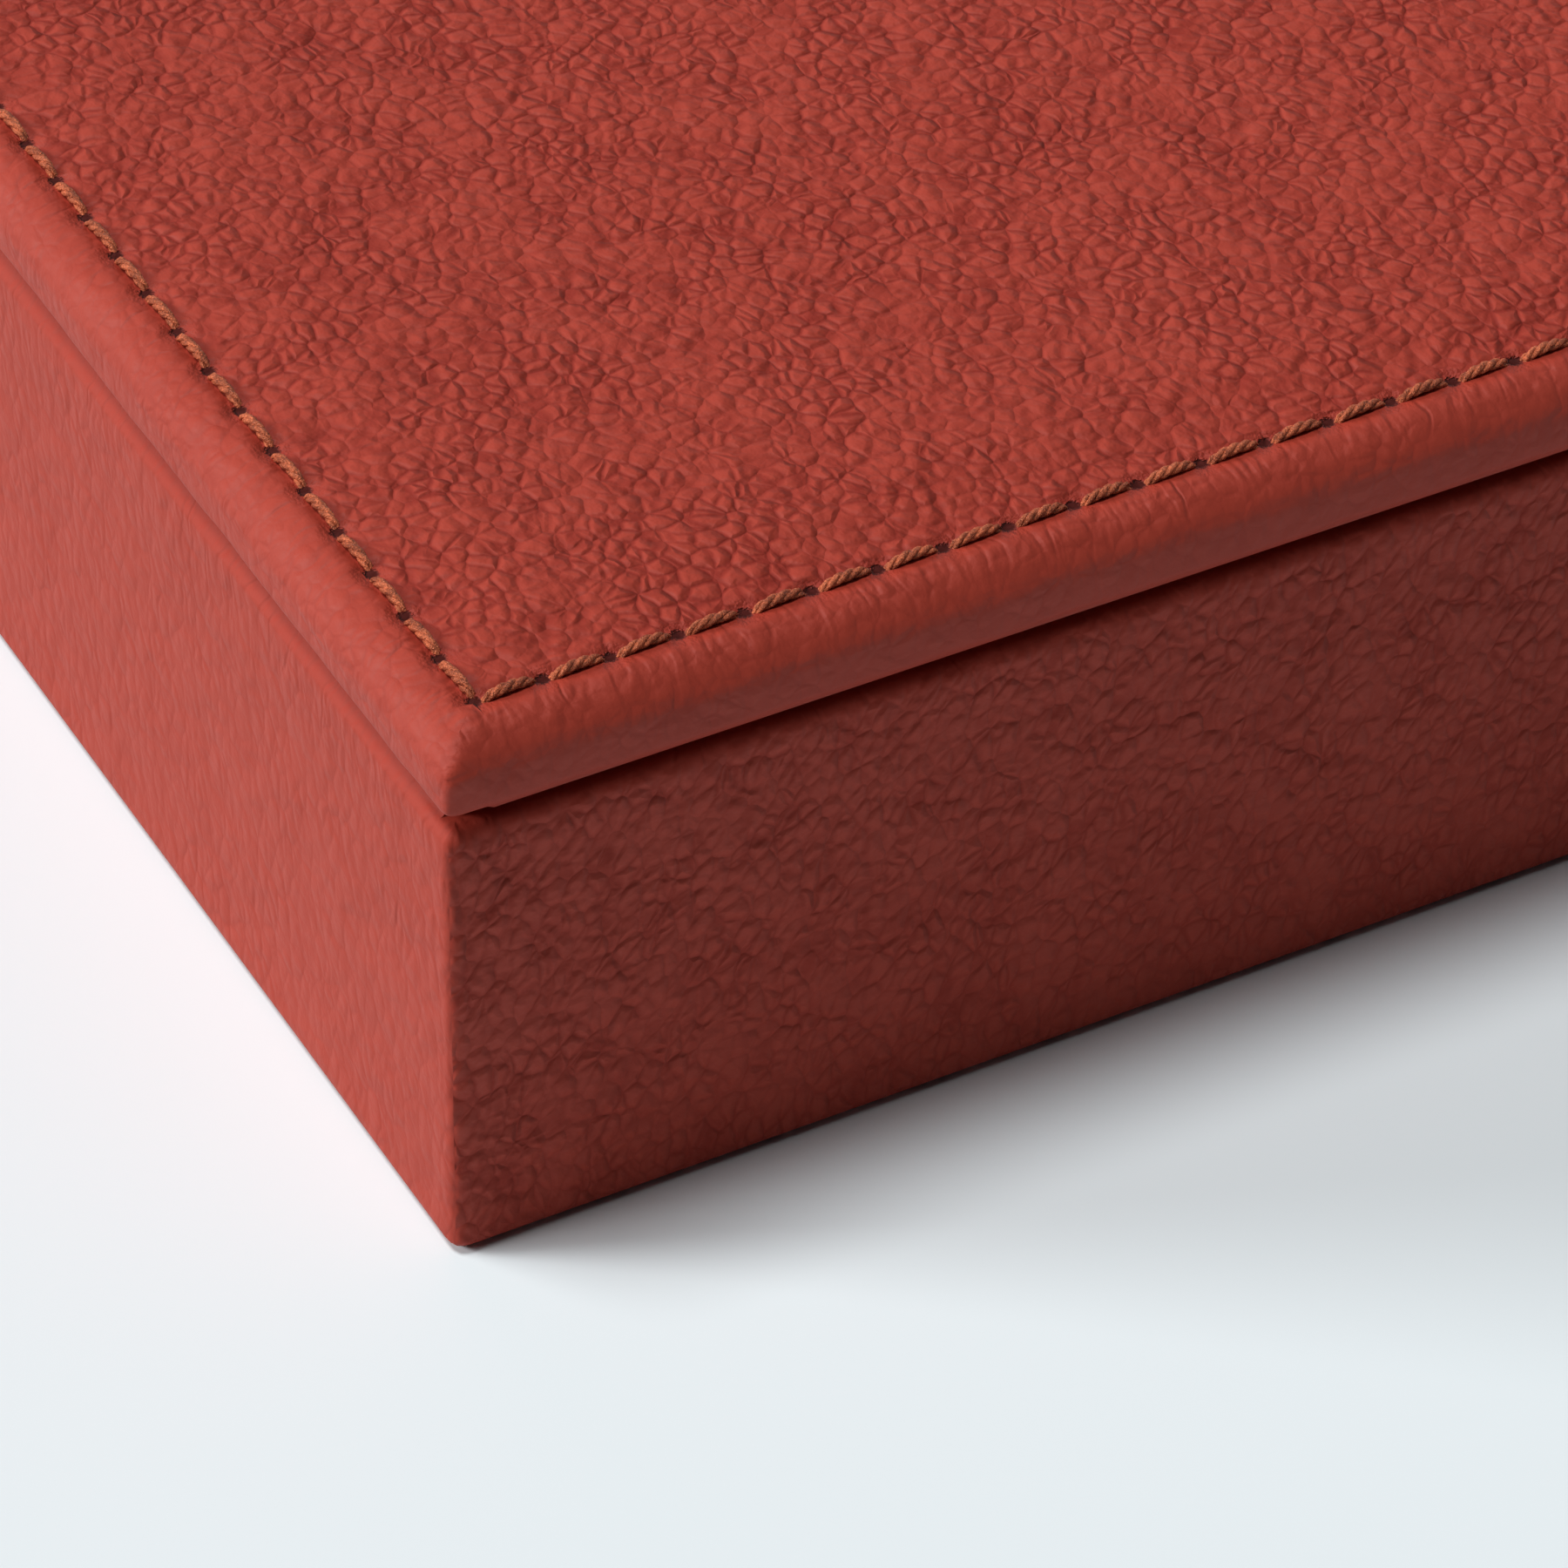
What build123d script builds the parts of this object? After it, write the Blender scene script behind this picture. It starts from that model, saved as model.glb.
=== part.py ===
from build123d import *
import os
from math import asin, degrees, sqrt

os.makedirs("parts", exist_ok=True)

# A leather-wrapped valet tray with a flat hinged lid. All sizes are in millimetres.
# +X runs along the long side, the hinge is on the +Y side, and Z = 0 is the underside.

# Outside of the closed tray, over the leather
tray_length = 240.0
tray_width = 170.0
seam_height = 30.1  # underside up to the lower face of the lid
lid_border = 4.9  # lid thickness along the stitched border
corner_radius = 1.9  # upright corners

# Hides, boards and linings
leather = 0.8
wall_thickness = 4.0
base_thickness = 3.0
board_edge_radius = 0.2  # eased edges that the leather is drawn over
lid_top_edge_radius = 0.9  # softer easing along the lid's upper edge
lid_gap = 0.5  # shadow line between the rim and the lid
base_turn_in = 14.0  # hide turned under the base
lid_turn_in = 12.0  # hide turned under the lid

# Padding under the leather of the lid
stitch_inset = 3.55
padding = 0.5
padding_margin = 1.0  # from the stitches to the foot of the padding
padding_slope = 5.0  # width over which the padding rises
padding_corner_radius = 8.0

# Linings inside the tray
lining_panel = 1.2  # suede-covered card on the walls
lining_reveal = 4.0  # leather rim left bare above the wall linings
lining_edge_radius = 0.5
floor_card_thickness = 1.5
floor_foam_thickness = 2.0
floor_foam_edge_radius = 1.4
floor_suede = 0.6
lining_fit = 0.1  # gluing clearance between lining pieces

# Panel under the lid, which drops into the mouth of the tray
lid_card = 0.8
lid_suede = 0.4
lid_panel_clearance = 1.0

# Fold of the hinge
hinge_lining = 0.6  # thin leather strip inside the hinge
crease_slack = 0.1  # how much wider the crease is than the gap it bridges
fold_clearance = 0.05

# Sizes that follow from the above
rim_height = seam_height - lid_gap
lid_top = seam_height + lid_border
core_length = tray_length - 2 * leather
core_width = tray_width - 2 * leather
core_corner_radius = corner_radius - leather
core_top = rim_height - leather
base_top = leather + base_thickness
base_length = core_length - 2 * wall_thickness
base_width = core_width - 2 * wall_thickness
mouth_length = base_length - 2 * leather
mouth_width = base_width - 2 * leather
wrap_radius = board_edge_radius + leather
back_face = tray_width / 2
wall_inner_face = back_face - leather - wall_thickness
lid_core_bottom = seam_height + leather
lid_core_top = lid_top - leather


# The four wall boards: one frame with mitred corners

with BuildPart() as wall_frame:
    with BuildSketch(Plane.XY.offset(leather)):
        RectangleRounded(core_length, core_width, core_corner_radius)
        Rectangle(base_length, base_width, mode=Mode.SUBTRACT)
    extrude(amount=core_top - leather)
    top_face = wall_frame.faces().sort_by(Axis.Z)[-1]
    bottom_face = wall_frame.faces().sort_by(Axis.Z)[0]
    fillet(top_face.edges() + bottom_face.outer_wire().edges(), board_edge_radius)


def mitre_corners(length, width, depth):
    """Corners of the trapezium that cuts one wall out of the frame, the wall facing -Y."""
    return [
        (-length / 2, -width / 2),
        (length / 2, -width / 2),
        (length / 2 - depth, -width / 2 + depth),
        (-length / 2 + depth, -width / 2 + depth),
    ]


mitre_depth = 2 * wall_thickness
wall_turns = {"front_wall": 0, "right_wall": 90, "back_wall": 180, "left_wall": 270}

for wall_name, turn in wall_turns.items():
    facing_end = turn % 180 == 90
    run = tray_width if facing_end else tray_length
    across = tray_length if facing_end else tray_width
    with BuildPart() as wall:
        add(wall_frame.part)
        with BuildSketch(Plane.XY.rotated((0, 0, turn))):
            Polygon(*mitre_corners(run, across, mitre_depth), align=None)
        extrude(amount=rim_height, mode=Mode.INTERSECT)
    wall.part.label = wall_name
    export_step(wall.part, f"parts/{wall_name}.step")


# The base: a board let in between the walls, with a microfibre sheet under it

with BuildPart() as base_board:
    with BuildSketch(Plane.XY.offset(leather)):
        Rectangle(base_length, base_width)
    extrude(amount=base_thickness)
base_board.part.label = "base_board"
export_step(base_board.part, "parts/base_board.step")

with BuildPart() as base_cover:
    with BuildSketch():
        Rectangle(tray_length - 2 * base_turn_in, tray_width - 2 * base_turn_in)
    extrude(amount=leather)
base_cover.part.label = "base_cover"
export_step(base_cover.part, "parts/base_cover.step")


# Section of the outer hinge: the hide leaves the back wall over one rounded board edge,
# dips into a crease and comes out over the rounded lower edge of the lid.

crease_radius = lid_gap / 2 + crease_slack
crease_height = rim_height + lid_gap / 2
wall_edge_centre = (back_face - wrap_radius, rim_height - wrap_radius)
lid_edge_centre = (back_face - wrap_radius, seam_height + wrap_radius)
edge_to_crease = wrap_radius + crease_radius
rise_to_crease = crease_height - wall_edge_centre[1]
reach_to_crease = sqrt(edge_to_crease**2 - rise_to_crease**2)
crease_centre = (wall_edge_centre[0] + reach_to_crease, crease_height)
wrap_angle = degrees(asin(rise_to_crease / edge_to_crease))
crease_back = crease_centre[0] - crease_radius - leather
hinge_length = tray_length - 2 * corner_radius
hinge_zone_depth = back_face - crease_back + fold_clearance


def rolled_edge(centre_low, centre_high, wrap, crease):
    """One face of the folded hide: wrap round the wall, crease, wrap round the lid."""
    CenterArc(centre_low, wrap, 0, wrap_angle)
    CenterArc(crease_centre, crease, 180 - wrap_angle, 2 * wrap_angle)
    CenterArc(centre_high, wrap, -wrap_angle, wrap_angle)


with BuildPart() as hinge_leather:
    with BuildSketch(Plane.YZ.offset(-hinge_length / 2)):
        with BuildLine():
            rolled_edge(wall_edge_centre, lid_edge_centre, wrap_radius, crease_radius)
            rolled_edge(
                wall_edge_centre, lid_edge_centre, board_edge_radius, crease_radius + leather
            )
            Line(
                (back_face - leather, wall_edge_centre[1]), (back_face, wall_edge_centre[1])
            )
            Line((back_face - leather, lid_edge_centre[1]), (back_face, lid_edge_centre[1]))
        make_face()
    extrude(amount=hinge_length)
hinge_leather.part.label = "hinge_leather"
export_step(hinge_leather.part, "parts/hinge_leather.step")


# The thin leather strip inside the hinge. It lines the back wall, turns over its top,
# folds back on itself beside the crease and is glued along the underside of the lid.

fold_centre_y = crease_back - fold_clearance - (lid_core_bottom - core_top) / 2
fold_radius = (lid_core_bottom - core_top) / 2
lining_edge_centre = (wall_inner_face + board_edge_radius, core_top - board_edge_radius)
strip_face = wall_inner_face - hinge_lining
strip_length = mouth_length - 2 * lining_fit
strip_lid_end = back_face - lid_turn_in
strip_lid_length = tray_length - 2 * lid_turn_in - 2 * lining_fit

with BuildPart() as inner_hinge:
    with BuildSketch(Plane.YZ.offset(-strip_length / 2)):
        with BuildLine():
            Line((strip_face, base_top), (strip_face, lining_edge_centre[1]))
            CenterArc(lining_edge_centre, board_edge_radius + hinge_lining, 180, -90)
            Line(
                (lining_edge_centre[0], core_top + hinge_lining),
                (fold_centre_y, core_top + hinge_lining),
            )
            CenterArc((fold_centre_y, crease_height), fold_radius - hinge_lining, -90, 180)
            Polyline(
                (fold_centre_y, lid_core_bottom - hinge_lining),
                (strip_lid_end, lid_core_bottom - hinge_lining),
                (strip_lid_end, lid_core_bottom),
                (fold_centre_y, lid_core_bottom),
            )
            CenterArc((fold_centre_y, crease_height), fold_radius, 90, -180)
            Line((fold_centre_y, core_top), (lining_edge_centre[0], core_top))
            CenterArc(lining_edge_centre, board_edge_radius, 90, 90)
            Polyline(
                (wall_inner_face, lining_edge_centre[1]),
                (wall_inner_face, base_top),
                (strip_face, base_top),
            )
        make_face()
    extrude(amount=strip_length)
    # the fold and the leaf on the lid stop short of the hide turned under the lid's ends
    with BuildSketch(Plane.XY.offset(core_top + hinge_lining)):
        Rectangle(tray_length, tray_width)
        Rectangle(strip_lid_length, tray_width, mode=Mode.SUBTRACT)
    extrude(amount=lid_border, mode=Mode.SUBTRACT)
inner_hinge.part.label = "inner_hinge"
export_step(inner_hinge.part, "parts/inner_hinge.step")


# The hide round the walls: turned under the base, drawn up the outside, over the rim and
# down the inside. Along the back it stops at the hinge, which carries on from it.

with BuildPart() as wall_leather:
    with BuildSketch():
        RectangleRounded(tray_length, tray_width, corner_radius)
    extrude(amount=rim_height)
    with BuildSketch():
        Rectangle(mouth_length, mouth_width)
    extrude(amount=rim_height, mode=Mode.SUBTRACT)
    top_face = wall_leather.faces().sort_by(Axis.Z)[-1]
    bottom_face = wall_leather.faces().sort_by(Axis.Z)[0]
    fillet(top_face.edges() + bottom_face.outer_wire().edges(), wrap_radius)
    add(wall_frame.part, mode=Mode.SUBTRACT)
    with BuildSketch(Plane.XY.offset(leather)):
        Rectangle(base_length, base_width)
    extrude(amount=base_thickness, mode=Mode.SUBTRACT)
    with BuildSketch():
        Rectangle(mouth_length, mouth_width)
        Rectangle(
            tray_length - 2 * base_turn_in, tray_width - 2 * base_turn_in, mode=Mode.SUBTRACT
        )
    extrude(amount=leather)
    # room for the outer hinge, over the straight part of the back wall
    with BuildSketch(Plane.XY.offset(wall_edge_centre[1])):
        with Locations((0, back_face)):
            Rectangle(hinge_length, 2 * hinge_zone_depth)
    extrude(amount=wrap_radius, mode=Mode.SUBTRACT)
    # room for the strip that lines the back wall and its top
    with BuildSketch(Plane.XY.offset(base_top)):
        with Locations((0, wall_inner_face - leather)):
            Rectangle(mouth_length, 2 * leather)
    extrude(amount=rim_height, mode=Mode.SUBTRACT)
    with BuildSketch(Plane.XY.offset(core_top - board_edge_radius)):
        with Locations((0, wall_inner_face)):
            Rectangle(mouth_length, wall_thickness + leather, align=(Align.CENTER, Align.MIN))
    extrude(amount=wrap_radius, mode=Mode.SUBTRACT)
wall_leather.part.label = "wall_leather"
export_step(wall_leather.part, "parts/wall_leather.step")


# Linings of the tray

floor_length = mouth_length - 2 * lining_panel - 2 * lining_fit
floor_width = mouth_width - 2 * lining_panel - 2 * lining_fit
lining_height = rim_height - lining_reveal - base_top
foam_bottom = base_top + floor_card_thickness
foam_top = foam_bottom + floor_foam_thickness
pad_length = floor_length - 2 * floor_suede
pad_width = floor_width - 2 * floor_suede

with BuildPart() as floor_card:
    with BuildSketch(Plane.XY.offset(base_top)):
        Rectangle(pad_length, pad_width)
    extrude(amount=floor_card_thickness)
floor_card.part.label = "floor_card"
export_step(floor_card.part, "parts/floor_card.step")

with BuildPart() as floor_foam:
    with BuildSketch(Plane.XY.offset(foam_bottom)):
        Rectangle(pad_length, pad_width)
    extrude(amount=floor_foam_thickness)
    fillet(floor_foam.faces().sort_by(Axis.Z)[-1].edges(), floor_foam_edge_radius)
floor_foam.part.label = "floor_foam"
export_step(floor_foam.part, "parts/floor_foam.step")

with BuildPart() as floor_lining:
    with BuildSketch(Plane.XY.offset(base_top)):
        Rectangle(floor_length, floor_width)
    extrude(amount=foam_top + floor_suede - base_top)
    fillet(
        floor_lining.faces().sort_by(Axis.Z)[-1].edges(), floor_foam_edge_radius + floor_suede
    )
    add(floor_card.part, mode=Mode.SUBTRACT)
    add(floor_foam.part, mode=Mode.SUBTRACT)
floor_lining.part.label = "floor_lining"
export_step(floor_lining.part, "parts/floor_lining.step")

long_lining = mouth_length - 2 * lining_fit
short_lining = mouth_width - 2 * lining_panel - 2 * lining_fit
lining_places = {
    "front_lining": (0, -(mouth_width - lining_panel) / 2, long_lining, lining_panel),
    "back_lining": (0, (mouth_width - lining_panel) / 2, long_lining, lining_panel),
    "left_lining": (-(mouth_length - lining_panel) / 2, 0, lining_panel, short_lining),
    "right_lining": ((mouth_length - lining_panel) / 2, 0, lining_panel, short_lining),
}

for lining_name, (place_x, place_y, size_x, size_y) in lining_places.items():
    with BuildPart() as lining:
        with BuildSketch(Plane.XY.offset(base_top)):
            with Locations((place_x, place_y)):
                Rectangle(size_x, size_y)
        extrude(amount=lining_height)
        run_axis = Axis.X if size_x > size_y else Axis.Y
        fillet(
            lining.faces().sort_by(Axis.Z)[-1].edges().filter_by(run_axis), lining_edge_radius
        )
    lining.part.label = lining_name
    export_step(lining.part, f"parts/{lining_name}.step")


# The lid: a board, thin padding inside the stitched border, and the hide over both

padding_inset = stitch_inset + padding_margin
padding_length = tray_length - 2 * padding_inset
padding_width = tray_width - 2 * padding_inset

with BuildPart() as lid_board:
    with BuildSketch(Plane.XY.offset(lid_core_bottom)):
        RectangleRounded(core_length, core_width, core_corner_radius)
    extrude(amount=lid_core_top - lid_core_bottom)
    fillet(lid_board.faces().sort_by(Axis.Z)[-1].edges(), lid_top_edge_radius)
    fillet(lid_board.faces().sort_by(Axis.Z)[0].edges(), board_edge_radius)
lid_board.part.label = "lid_board"
export_step(lid_board.part, "parts/lid_board.step")


def padding_outline(level, drawn_in):
    """Outline of the padding at one level, drawn in all round from its foot."""
    with BuildSketch(Plane.XY.offset(level)) as outline:
        RectangleRounded(
            padding_length - 2 * drawn_in,
            padding_width - 2 * drawn_in,
            padding_corner_radius - drawn_in,
        )
    return outline.sketch


with BuildPart() as lid_padding:
    loft(
        [
            padding_outline(lid_core_top, 0),
            padding_outline(lid_core_top + padding, padding_slope),
        ]
    )
lid_padding.part.label = "lid_padding"
export_step(lid_padding.part, "parts/lid_padding.step")

with BuildPart() as lid_leather:
    with BuildSketch(Plane.XY.offset(seam_height)):
        RectangleRounded(tray_length, tray_width, corner_radius)
    extrude(amount=lid_border)
    fillet(lid_leather.faces().sort_by(Axis.Z)[-1].edges(), lid_top_edge_radius + leather)
    fillet(lid_leather.faces().sort_by(Axis.Z)[0].edges(), wrap_radius)
    loft([padding_outline(lid_top, 0), padding_outline(lid_top + padding, padding_slope)])
    add(lid_board.part, mode=Mode.SUBTRACT)
    add(lid_padding.part, mode=Mode.SUBTRACT)
    # the hide is turned under three edges and leaves the fourth to the hinge
    with BuildSketch(Plane.XY.offset(seam_height)):
        with Locations((0, lid_turn_in)):
            Rectangle(tray_length - 2 * lid_turn_in, tray_width)
    extrude(amount=leather, mode=Mode.SUBTRACT)
    with BuildSketch(Plane.XY.offset(seam_height)):
        with Locations((0, back_face)):
            Rectangle(hinge_length, 2 * hinge_zone_depth)
    extrude(amount=wrap_radius, mode=Mode.SUBTRACT)
lid_leather.part.label = "lid_leather"
export_step(lid_leather.part, "parts/lid_leather.step")

# Card that levels the underside of the lid between the turned edges
with BuildPart() as lid_infill:
    with BuildSketch(Plane.XY.offset(seam_height)):
        Rectangle(tray_length - 2 * lid_turn_in, tray_width - 2 * lid_turn_in)
    extrude(amount=leather)
lid_infill.part.label = "lid_infill"
export_step(lid_infill.part, "parts/lid_infill.step")


# The panel under the lid: card wrapped in suede, a loose fit in the mouth of the tray

panel_length = mouth_length - 2 * lid_panel_clearance
panel_width = mouth_width - 2 * lid_panel_clearance

with BuildPart() as lid_panel_card:
    with BuildSketch(Plane.XY.offset(seam_height)):
        Rectangle(panel_length - 2 * lid_suede, panel_width - 2 * lid_suede)
    extrude(amount=-lid_card)
lid_panel_card.part.label = "lid_panel_card"
export_step(lid_panel_card.part, "parts/lid_panel_card.step")

with BuildPart() as lid_panel_lining:
    with BuildSketch(Plane.XY.offset(seam_height)):
        Rectangle(panel_length, panel_width)
    extrude(amount=-lid_card - lid_suede)
    fillet(lid_panel_lining.faces().sort_by(Axis.Z)[0].edges(), lid_suede)
    add(lid_panel_card.part, mode=Mode.SUBTRACT)
lid_panel_lining.part.label = "lid_panel_lining"
export_step(lid_panel_lining.part, "parts/lid_panel_lining.step")
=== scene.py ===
import math

import bmesh
import bpy
from mathutils import Matrix, Vector, noise


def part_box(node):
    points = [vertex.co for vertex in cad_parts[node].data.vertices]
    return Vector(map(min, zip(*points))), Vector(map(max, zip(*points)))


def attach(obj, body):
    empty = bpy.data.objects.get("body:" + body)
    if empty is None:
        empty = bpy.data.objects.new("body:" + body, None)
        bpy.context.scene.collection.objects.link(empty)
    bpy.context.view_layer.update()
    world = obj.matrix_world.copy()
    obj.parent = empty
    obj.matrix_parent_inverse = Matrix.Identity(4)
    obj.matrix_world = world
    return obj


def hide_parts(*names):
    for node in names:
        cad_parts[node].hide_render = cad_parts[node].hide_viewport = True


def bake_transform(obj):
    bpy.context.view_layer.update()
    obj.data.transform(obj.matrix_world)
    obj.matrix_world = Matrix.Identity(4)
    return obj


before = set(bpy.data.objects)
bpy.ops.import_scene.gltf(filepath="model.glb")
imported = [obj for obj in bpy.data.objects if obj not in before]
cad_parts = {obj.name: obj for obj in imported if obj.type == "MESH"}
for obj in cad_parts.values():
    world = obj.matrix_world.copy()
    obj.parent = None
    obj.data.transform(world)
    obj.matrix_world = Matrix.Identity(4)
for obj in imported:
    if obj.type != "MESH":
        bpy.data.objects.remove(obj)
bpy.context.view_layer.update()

# Lidded valet tray: outer hide, live hinge, topstitch, linings, then floor, light and camera.
# Lengths are in metres, and the closed tray stands on z = 0 with its hinge on +Y.

lidLow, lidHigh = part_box("lid_leather")
hingeLow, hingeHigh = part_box("hinge_leather")
padLow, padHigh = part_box("floor_lining")
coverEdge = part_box("base_cover")[1].x
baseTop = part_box("base_board")[1].z
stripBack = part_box("inner_hinge")[1].y
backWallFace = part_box("back_wall")[0].y
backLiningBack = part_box("back_lining")[1].y

halfLength = lidHigh.x
halfWidth = lidHigh.y
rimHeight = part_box("wall_leather")[1].z
seamHeight = lidLow.z
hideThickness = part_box("lid_board")[0].z - seamHeight
cornerRadius = halfLength - hingeHigh.x
wrapRadius = rimHeight - hingeLow.z
gapMiddle = (rimHeight + seamHeight) / 2
mm = 1000.0  # millimetres in a metre, for the materials
crown = 0.0005  # rise of the padding under the lid's hide
borderTop = lidHigh.z - crown


def finishPiece(piece, material, smooth=True):
    piece.data.materials.clear()
    piece.data.materials.append(material)
    for face in piece.data.polygons:
        face.use_smooth = smooth
    return piece


def newPiece(name, shape):
    mesh = bpy.data.meshes.new(name)
    shape.to_mesh(mesh)
    shape.free()
    piece = bpy.data.objects.new(name, mesh)
    bpy.context.scene.collection.objects.link(piece)
    return piece


def applyModifiers(piece):
    bpy.context.view_layer.update()
    ready = piece.evaluated_get(bpy.context.evaluated_depsgraph_get())
    mesh = bpy.data.meshes.new_from_object(ready)
    piece.modifiers.clear()
    piece.data = mesh
    return piece


def thicken(piece, thickness):
    wall = piece.modifiers.new("hide", "SOLIDIFY")
    wall.thickness = thickness
    wall.offset = -1
    return applyModifiers(piece)


# Cut edges of a hide stay crisp, and its folds stay smooth
def creaseRims(piece):
    piece.data.set_sharp_from_angle(angle=math.radians(42))


# Shader sums

class Wire:  # one socket, so that sums on values are written as sums
    def __init__(self, tree, socket=None):
        self.tree = tree
        self.socket = socket

    def node(self, kind, settings, inputs, output=0):
        made = self.tree.nodes.new("ShaderNode" + kind)
        for name, value in settings.items():
            setattr(made, name, value)
        for name, value in inputs.items():
            if isinstance(value, Wire):
                self.tree.links.new(value.socket, made.inputs[name])
            else:
                made.inputs[name].default_value = value
        return Wire(self.tree, made.outputs[output] if made.outputs else None)

    def math(self, operation, *terms):
        return self.node("Math", {"operation": operation}, dict(enumerate(terms)))

    def __add__(self, other):
        return self.math("ADD", self, other)

    __radd__ = __add__

    def __sub__(self, other):
        return self.math("SUBTRACT", self, other)

    def __rsub__(self, other):
        return self.math("SUBTRACT", other, self)

    def __mul__(self, other):
        return self.math("MULTIPLY", self, other)

    __rmul__ = __mul__

    def __truediv__(self, other):
        return self.math("DIVIDE", self, other)

    def __abs__(self):
        return self.math("ABSOLUTE", self)

    def least(self, other):
        return self.math("MINIMUM", self, other)

    def most(self, other):
        return self.math("MAXIMUM", self, other)

    def ramp(self, low, high):  # 0 at low, 1 at high, eased at both ends
        inputs = {"Value": self, "From Min": low, "From Max": high}
        return self.node("MapRange", {"interpolation_type": "SMOOTHSTEP"}, inputs)

    def tint(self, colour, other):  # colour where this is 0, other where it is 1
        return self.node("Mix", {"data_type": "RGBA"}, {0: self, 6: colour, 7: other}, 2)

    def swap(self, other, share):  # one place or another, by share
        inputs = {0: share, 4: self, 5: other}
        return self.node("Mix", {"data_type": "VECTOR"}, inputs, 1)

    def stretch(self, x, y, z):
        return self.node("VectorMath", {"operation": "MULTIPLY"}, {0: self, 1: (x, y, z)})

    def along(self, turn, x, y, z):  # turned about Z, then drawn out by x, y and z
        inputs = {"Vector": self, "Rotation": (0, 0, math.radians(turn)), "Scale": (x, y, z)}
        return self.node("Mapping", {"vector_type": "TEXTURE"}, inputs)

    def cloud(self, scale, detail=2.0, rough=0.5, output=0):
        inputs = {"Vector": self, "Scale": scale, "Detail": detail, "Roughness": rough}
        return self.node("TexNoise", {}, inputs, output)

    def cells(self, scale, feature="DISTANCE_TO_EDGE", random=1.0):
        inputs = {"Vector": self, "Scale": scale, "Randomness": random}
        return self.node("TexVoronoi", {"feature": feature}, inputs)

    def warp(self, scale, amount):
        drift = self.cloud(scale, 1.0, 0.5, 1)
        centred = self.node("VectorMath", {"operation": "SUBTRACT"}, {0: drift, 1: (0.5,) * 3})
        sized = self.node("VectorMath", {"operation": "SCALE"}, {0: centred, "Scale": amount})
        return self.node("VectorMath", {"operation": "ADD"}, {0: self, 1: sized})


def startMaterial(name):
    material = bpy.data.materials.new(name)
    material.use_nodes = True
    material.node_tree.nodes.clear()
    sheet = Wire(material.node_tree)
    place = sheet.node("TexCoord", {}, {}, "Object")
    millimetres = place.node("VectorMath", {"operation": "SCALE"}, {0: place, "Scale": mm})
    return material, millimetres


# The height is in millimetres
def endMaterial(wire, colour, roughness, height, settings):
    bump = wire.node("Bump", {}, {"Strength": 1.0, "Distance": 0.001, "Height": height})
    inputs = {"Base Color": colour, "Roughness": roughness, "Normal": bump}
    shader = wire.node("BsdfPrincipled", {}, {**inputs, **settings})
    wire.node("OutputMaterial", {}, {"Surface": shader})


def axes(wire):
    return [wire.node("SeparateXYZ", {}, {0: wire}, letter) for letter in "XYZ"]


# Topstitch layout, shared by the thread and by its holes in the hide

stitching = {
    "inset": 0.00355,
    "pitch": 0.004,
    "threadRadius": 0.00018,
    "twistRadius": 0.00015,
    "plies": 3,
    "turns": 1.4,
    "steps": 12,
    "lift": 0.00016,
    "slant": 0.00022,
    "endGap": 0.1,  # share of the pitch left open at each end
    "sink": 0.0004,  # how far the ends go down into the needle holes
    "plumpness": 0.35,  # lower is flatter along its middle
    "endThickness": 0.75,
    "middleThickness": 0.3,  # added to it at the middle
}
stitchX = halfLength - stitching["inset"]
stitchY = halfWidth - stitching["inset"]
countX = round(2 * stitchX / stitching["pitch"])
countY = round(2 * stitchY / stitching["pitch"])
pitchX = 2 * stitchX / countX
pitchY = 2 * stitchY / countY

leather = {
    "face": (0.332, 0.0375, 0.0205, 1),
    # painted shade for the creases, the folds, the gap, the hinge crease and the stitch groove
    "shadeColour": (0.19, 0.012, 0.006, 1),
    "rubbed": (0.41, 0.056, 0.034, 1),
    # painted shade: near black where the needle holes are, which are only bumped into the hide
    "hole": (0.055, 0.006, 0.004, 1),
    "roughness": 0.56,
    "shine": 0.2,
    "pebble": 0.88,  # cells per millimetre
    "fold": 0.36,  # cells per millimetre, of the long creases
    "pebbleDepth": 0.15,  # depths are in millimetres
    "creaseDepth": 0.095,
    "foldDepth": 0.08,
    "lumpDepth": 0.27,
    "smallDepth": 0.05,
    "poreDepth": 0.014,
    "swellDepth": 0.25,
    "rimGrain": 0.3,  # shares of the lid's grain
    "sideGrain": 0.34,
    "extraEndGrain": 0.85,
    "rimPucker": 0.02,
    "stitchPucker": 0.04,
    "seamPucker": 0.05,
    "grooveDepth": 0.12,
    "pullDepth": 0.14,
    "holeDepth": 0.3,
    "holeRadius": 0.24,
    "holeEdge": 0.48,
}


# Where on the hide a point lies; each zone is 1 inside and 0 outside
def hideZones(x, y, z):
    edgeX = halfLength * mm - abs(x)
    edgeY = halfWidth * mm - abs(y)
    inset = edgeX.least(edgeY)
    aboveGap = z - (seamHeight * mm - 0.25)
    onLid = aboveGap.math("GREATER_THAN", aboveGap, 0.0)
    onTop = z.ramp(borderTop * mm - 1.6, borderTop * mm - 0.2)
    field = onTop * inset.ramp(3.0, 5.2)  # the padded field inside the stitches
    return {
        "edgeX": edgeX,
        "edgeY": edgeY,
        "inset": inset,
        "onLid": onLid,
        "onTop": onTop,
        "field": field,
        "rim": onLid * (1 - field),
        "calm": abs(aboveGap).ramp(0.0, 2.2),  # 0 down in the gap and the crease
        "atEnd": edgeX.math("LESS_THAN", edgeX, edgeY),
        "belowSeam": z.ramp(21.0, seamHeight * mm - 1.0) * (1 - onLid),
    }


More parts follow.
